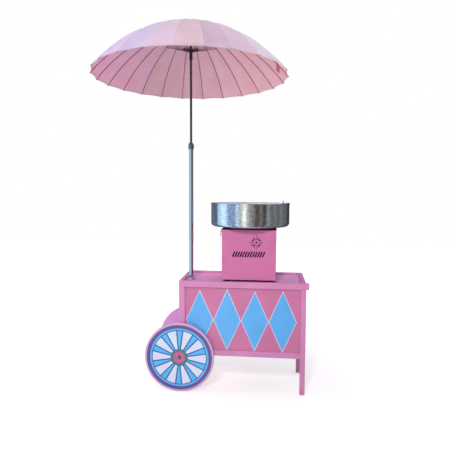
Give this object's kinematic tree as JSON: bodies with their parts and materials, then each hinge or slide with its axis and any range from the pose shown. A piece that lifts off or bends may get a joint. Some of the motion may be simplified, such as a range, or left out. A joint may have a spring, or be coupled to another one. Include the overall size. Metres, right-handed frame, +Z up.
{
  "type": "cotton candy cart",
  "caption": "Two-wheeled pink wooden vending cart with a cotton candy machine on its deck and a folding parasol on a mast.",
  "frame": {"origin": "on the ground, under the middle of the whole object's bounding box; the mast axis is at y = 0", "axes": "+Z up, +X to the cart's right seen from its front panel, +Y towards its open back"},
  "size_m": [1.3749, 1.2358, 2.3298],
  "materials": {
    "frame_paint": "satin pink paint on planed softwood",
    "panel_paint": "satin pink paint on plywood",
    "board": "bare plywood",
    "wheel_print": "printed face on a plywood disc, pink edge",
    "zinc": "bright zinc plate",
    "chrome_tube": "chromed steel tube",
    "shaft_paint": "dark gloss paint on steel tube",
    "hub_plastic": "black moulded plastic",
    "canopy_cloth": "pale pink woven polyester",
    "stretcher_steel": "black coated steel wire",
    "rib_fibre": "dark red fibreglass rod",
    "machine_paint": "pink powder coat on sheet steel",
    "rubber": "black moulded rubber",
    "bowl_steel": "rolled stainless sheet",
    "head_alloy": "turned aluminium",
    "motor_steel": "grey enamel",
    "control_plastic": "black moulded plastic"
  },
  "bodies": {
    "cart": {"front_left_post": "frame_paint", "rear_left_post": "frame_paint", "front_right_leg": "frame_paint", "rear_right_leg": "frame_paint", "front_top_rail": "frame_paint", "top_rails": "frame_paint", "bottom_rails": "frame_paint", "axle_blocks": "frame_paint", "front_panel": "panel_paint", "side_panels": "panel_paint", "deck": "panel_paint", "floor_board": "board", "axle": "zinc", "axle_nuts": "zinc", "latch_base": "zinc", "base_plate": "zinc", "mast_tube": "chrome_tube", "mast_flanges": "chrome_tube", "housing": "machine_paint", "feet": "rubber", "bowl_gasket": "rubber", "motor": "motor_steel"},
    "front_wheel": {"front_wheel": "wheel_print"},
    "rear_wheel": {"rear_wheel": "wheel_print"},
    "collar": {"lock_collar": "chrome_tube"},
    "umbrella": {"umbrella_shaft": "shaft_paint", "crown_notch": "hub_plastic", "top_cap": "hub_plastic", "canopy": "canopy_cloth"},
    "runner": {"runner": "hub_plastic", "stretchers": "stretcher_steel"},
    "bowl": {"bowl": "bowl_steel"},
    "spinner": {"spinner_head": "head_alloy"},
    "knob": {"control_knob": "control_plastic"},
    "rocker": {"rocker_switch": "control_plastic"},
    "latch": {"latch_lever": "zinc"},
    "rib_01": {"rib_01": "rib_fibre"},
    "rib_02": {"rib_02": "rib_fibre"},
    "rib_03": {"rib_03": "rib_fibre"},
    "rib_04": {"rib_04": "rib_fibre"},
    "rib_05": {"rib_05": "rib_fibre"},
    "rib_06": {"rib_06": "rib_fibre"},
    "rib_07": {"rib_07": "rib_fibre"},
    "rib_08": {"rib_08": "rib_fibre"},
    "rib_09": {"rib_09": "rib_fibre"},
    "rib_10": {"rib_10": "rib_fibre"},
    "rib_11": {"rib_11": "rib_fibre"},
    "rib_12": {"rib_12": "rib_fibre"},
    "rib_13": {"rib_13": "rib_fibre"},
    "rib_14": {"rib_14": "rib_fibre"},
    "rib_15": {"rib_15": "rib_fibre"},
    "rib_16": {"rib_16": "rib_fibre"},
    "rib_17": {"rib_17": "rib_fibre"},
    "rib_18": {"rib_18": "rib_fibre"},
    "rib_19": {"rib_19": "rib_fibre"},
    "rib_20": {"rib_20": "rib_fibre"},
    "rib_21": {"rib_21": "rib_fibre"},
    "rib_22": {"rib_22": "rib_fibre"},
    "rib_23": {"rib_23": "rib_fibre"},
    "rib_24": {"rib_24": "rib_fibre"}
  },
  "joints": [
    {"name": "front_wheel_spin", "type": "hinge", "parent": "cart", "child": "front_wheel", "pos_m": [-0.1245, -0.131, 0.223], "axis": [0, 1, 0], "continuous": true},
    {"name": "rear_wheel_spin", "type": "hinge", "parent": "cart", "child": "rear_wheel", "pos_m": [-0.1245, 0.281, 0.223], "axis": [0, 1, 0], "continuous": true},
    {"name": "collar_twist", "type": "hinge", "parent": "cart", "child": "collar", "pos_m": [-0.0705, 0, 1.5725], "axis": [0, 0, 1], "range_deg": [0, 90]},
    {"name": "mast_height", "type": "slide", "parent": "cart", "child": "umbrella", "axis": [0, 0, 1], "range_m": [-0.15, 0.15]},
    {"name": "runner_slide", "type": "slide", "parent": "umbrella", "child": "runner", "axis": [0, 0, 1], "range_m": [-0.345, 0], "deforming": ["canopy", "stretchers"]},
    {"name": "bowl_lift", "type": "slide", "parent": "cart", "child": "bowl", "axis": [0, 0, 1], "range_m": [0, 0.2]},
    {"name": "spinner_spin", "type": "hinge", "parent": "cart", "child": "spinner", "pos_m": [0.3095, 0.083, 1.073], "axis": [0, 0, 1], "continuous": true},
    {"name": "knob_turn", "type": "hinge", "parent": "cart", "child": "knob", "pos_m": [0.2395, 0.254, 0.922], "axis": [0, 1, 0], "range_deg": [0, 270]},
    {"name": "rocker_tip", "type": "hinge", "parent": "cart", "child": "rocker", "pos_m": [0.1418, 0.083, 0.892], "axis": [0, 1, 0], "range_deg": [0, 16]},
    {"name": "latch_swing", "type": "hinge", "parent": "cart", "child": "latch", "pos_m": [0.1305, -0.033, 1.026], "axis": [0, 1, 0], "range_deg": [0, 110]},
    {"name": "rib_01_fold", "type": "hinge", "parent": "umbrella", "child": "rib_01", "pos_m": [-0.05451, 0.00042, 2.31522], "axis": [-0.0262, 0.9997, 0], "range_deg": [0, 58.1]},
    {"name": "rib_02_fold", "type": "hinge", "parent": "umbrella", "child": "rib_02", "pos_m": [-0.05516, 0.00454, 2.31522], "axis": [-0.284, 0.9588, 0], "range_deg": [0, 58.1]},
    {"name": "rib_03_fold", "type": "hinge", "parent": "umbrella", "child": "rib_03", "pos_m": [-0.05686, 0.00836, 2.31522], "axis": [-0.5225, 0.8526, 0], "range_deg": [0, 58.1]},
    {"name": "rib_04_fold", "type": "hinge", "parent": "umbrella", "child": "rib_04", "pos_m": [-0.05949, 0.01161, 2.31522], "axis": [-0.7254, 0.6884, 0], "range_deg": [0, 58.1]},
    {"name": "rib_05_fold", "type": "hinge", "parent": "umbrella", "child": "rib_05", "pos_m": [-0.06287, 0.01406, 2.31522], "axis": [-0.8788, 0.4772, 0], "range_deg": [0, 58.1]},
    {"name": "rib_06_fold", "type": "hinge", "parent": "umbrella", "child": "rib_06", "pos_m": [-0.06676, 0.01556, 2.31522], "axis": [-0.9724, 0.2334, 0], "range_deg": [0, 58.1]},
    {"name": "rib_07_fold", "type": "hinge", "parent": "umbrella", "child": "rib_07", "pos_m": [-0.07092, 0.01599, 2.31522], "axis": [-0.9997, -0.0262, 0], "range_deg": [0, 58.1]},
    {"name": "rib_08_fold", "type": "hinge", "parent": "umbrella", "child": "rib_08", "pos_m": [-0.07504, 0.01534, 2.31522], "axis": [-0.9588, -0.284, 0], "range_deg": [0, 58.1]},
    {"name": "rib_09_fold", "type": "hinge", "parent": "umbrella", "child": "rib_09", "pos_m": [-0.07886, 0.01364, 2.31522], "axis": [-0.8526, -0.5225, 0], "range_deg": [0, 58.1]},
    {"name": "rib_10_fold", "type": "hinge", "parent": "umbrella", "child": "rib_10", "pos_m": [-0.08211, 0.01101, 2.31522], "axis": [-0.6884, -0.7254, 0], "range_deg": [0, 58.1]},
    {"name": "rib_11_fold", "type": "hinge", "parent": "umbrella", "child": "rib_11", "pos_m": [-0.08456, 0.00763, 2.31522], "axis": [-0.4772, -0.8788, 0], "range_deg": [0, 58.1]},
    {"name": "rib_12_fold", "type": "hinge", "parent": "umbrella", "child": "rib_12", "pos_m": [-0.08606, 0.00374, 2.31522], "axis": [-0.2334, -0.9724, 0], "range_deg": [0, 58.1]},
    {"name": "rib_13_fold", "type": "hinge", "parent": "umbrella", "child": "rib_13", "pos_m": [-0.08649, -0.00042, 2.31522], "axis": [0.0262, -0.9997, 0], "range_deg": [0, 58.1]},
    {"name": "rib_14_fold", "type": "hinge", "parent": "umbrella", "child": "rib_14", "pos_m": [-0.08584, -0.00454, 2.31522], "axis": [0.284, -0.9588, 0], "range_deg": [0, 58.1]},
    {"name": "rib_15_fold", "type": "hinge", "parent": "umbrella", "child": "rib_15", "pos_m": [-0.08414, -0.00836, 2.31522], "axis": [0.5225, -0.8526, 0], "range_deg": [0, 58.1]},
    {"name": "rib_16_fold", "type": "hinge", "parent": "umbrella", "child": "rib_16", "pos_m": [-0.08151, -0.01161, 2.31522], "axis": [0.7254, -0.6884, 0], "range_deg": [0, 58.1]},
    {"name": "rib_17_fold", "type": "hinge", "parent": "umbrella", "child": "rib_17", "pos_m": [-0.07813, -0.01406, 2.31522], "axis": [0.8788, -0.4772, 0], "range_deg": [0, 58.1]},
    {"name": "rib_18_fold", "type": "hinge", "parent": "umbrella", "child": "rib_18", "pos_m": [-0.07424, -0.01556, 2.31522], "axis": [0.9724, -0.2334, 0], "range_deg": [0, 58.1]},
    {"name": "rib_19_fold", "type": "hinge", "parent": "umbrella", "child": "rib_19", "pos_m": [-0.07008, -0.01599, 2.31522], "axis": [0.9997, 0.0262, 0], "range_deg": [0, 58.1]},
    {"name": "rib_20_fold", "type": "hinge", "parent": "umbrella", "child": "rib_20", "pos_m": [-0.06596, -0.01534, 2.31522], "axis": [0.9588, 0.284, 0], "range_deg": [0, 58.1]},
    {"name": "rib_21_fold", "type": "hinge", "parent": "umbrella", "child": "rib_21", "pos_m": [-0.06214, -0.01364, 2.31522], "axis": [0.8526, 0.5225, 0], "range_deg": [0, 58.1]},
    {"name": "rib_22_fold", "type": "hinge", "parent": "umbrella", "child": "rib_22", "pos_m": [-0.05889, -0.01101, 2.31522], "axis": [0.6884, 0.7254, 0], "range_deg": [0, 58.1]},
    {"name": "rib_23_fold", "type": "hinge", "parent": "umbrella", "child": "rib_23", "pos_m": [-0.05644, -0.00763, 2.31522], "axis": [0.4772, 0.8788, 0], "range_deg": [0, 58.1]},
    {"name": "rib_24_fold", "type": "hinge", "parent": "umbrella", "child": "rib_24", "pos_m": [-0.05494, -0.00374, 2.31522], "axis": [0.2334, 0.9724, 0], "range_deg": [0, 58.1]}
  ],
  "couplings": [
    {"joint": "rib_01_fold", "follows": "runner_slide", "rad_per_m": -2.934},
    {"joint": "rib_02_fold", "follows": "runner_slide", "rad_per_m": -2.934},
    {"joint": "rib_03_fold", "follows": "runner_slide", "rad_per_m": -2.934},
    {"joint": "rib_04_fold", "follows": "runner_slide", "rad_per_m": -2.934},
    {"joint": "rib_05_fold", "follows": "runner_slide", "rad_per_m": -2.934},
    {"joint": "rib_06_fold", "follows": "runner_slide", "rad_per_m": -2.934},
    {"joint": "rib_07_fold", "follows": "runner_slide", "rad_per_m": -2.934},
    {"joint": "rib_08_fold", "follows": "runner_slide", "rad_per_m": -2.934},
    {"joint": "rib_09_fold", "follows": "runner_slide", "rad_per_m": -2.934},
    {"joint": "rib_10_fold", "follows": "runner_slide", "rad_per_m": -2.934},
    {"joint": "rib_11_fold", "follows": "runner_slide", "rad_per_m": -2.934},
    {"joint": "rib_12_fold", "follows": "runner_slide", "rad_per_m": -2.934},
    {"joint": "rib_13_fold", "follows": "runner_slide", "rad_per_m": -2.934},
    {"joint": "rib_14_fold", "follows": "runner_slide", "rad_per_m": -2.934},
    {"joint": "rib_15_fold", "follows": "runner_slide", "rad_per_m": -2.934},
    {"joint": "rib_16_fold", "follows": "runner_slide", "rad_per_m": -2.934},
    {"joint": "rib_17_fold", "follows": "runner_slide", "rad_per_m": -2.934},
    {"joint": "rib_18_fold", "follows": "runner_slide", "rad_per_m": -2.934},
    {"joint": "rib_19_fold", "follows": "runner_slide", "rad_per_m": -2.934},
    {"joint": "rib_20_fold", "follows": "runner_slide", "rad_per_m": -2.934},
    {"joint": "rib_21_fold", "follows": "runner_slide", "rad_per_m": -2.934},
    {"joint": "rib_22_fold", "follows": "runner_slide", "rad_per_m": -2.934},
    {"joint": "rib_23_fold", "follows": "runner_slide", "rad_per_m": -2.934},
    {"joint": "rib_24_fold", "follows": "runner_slide", "rad_per_m": -2.934}
  ]
}
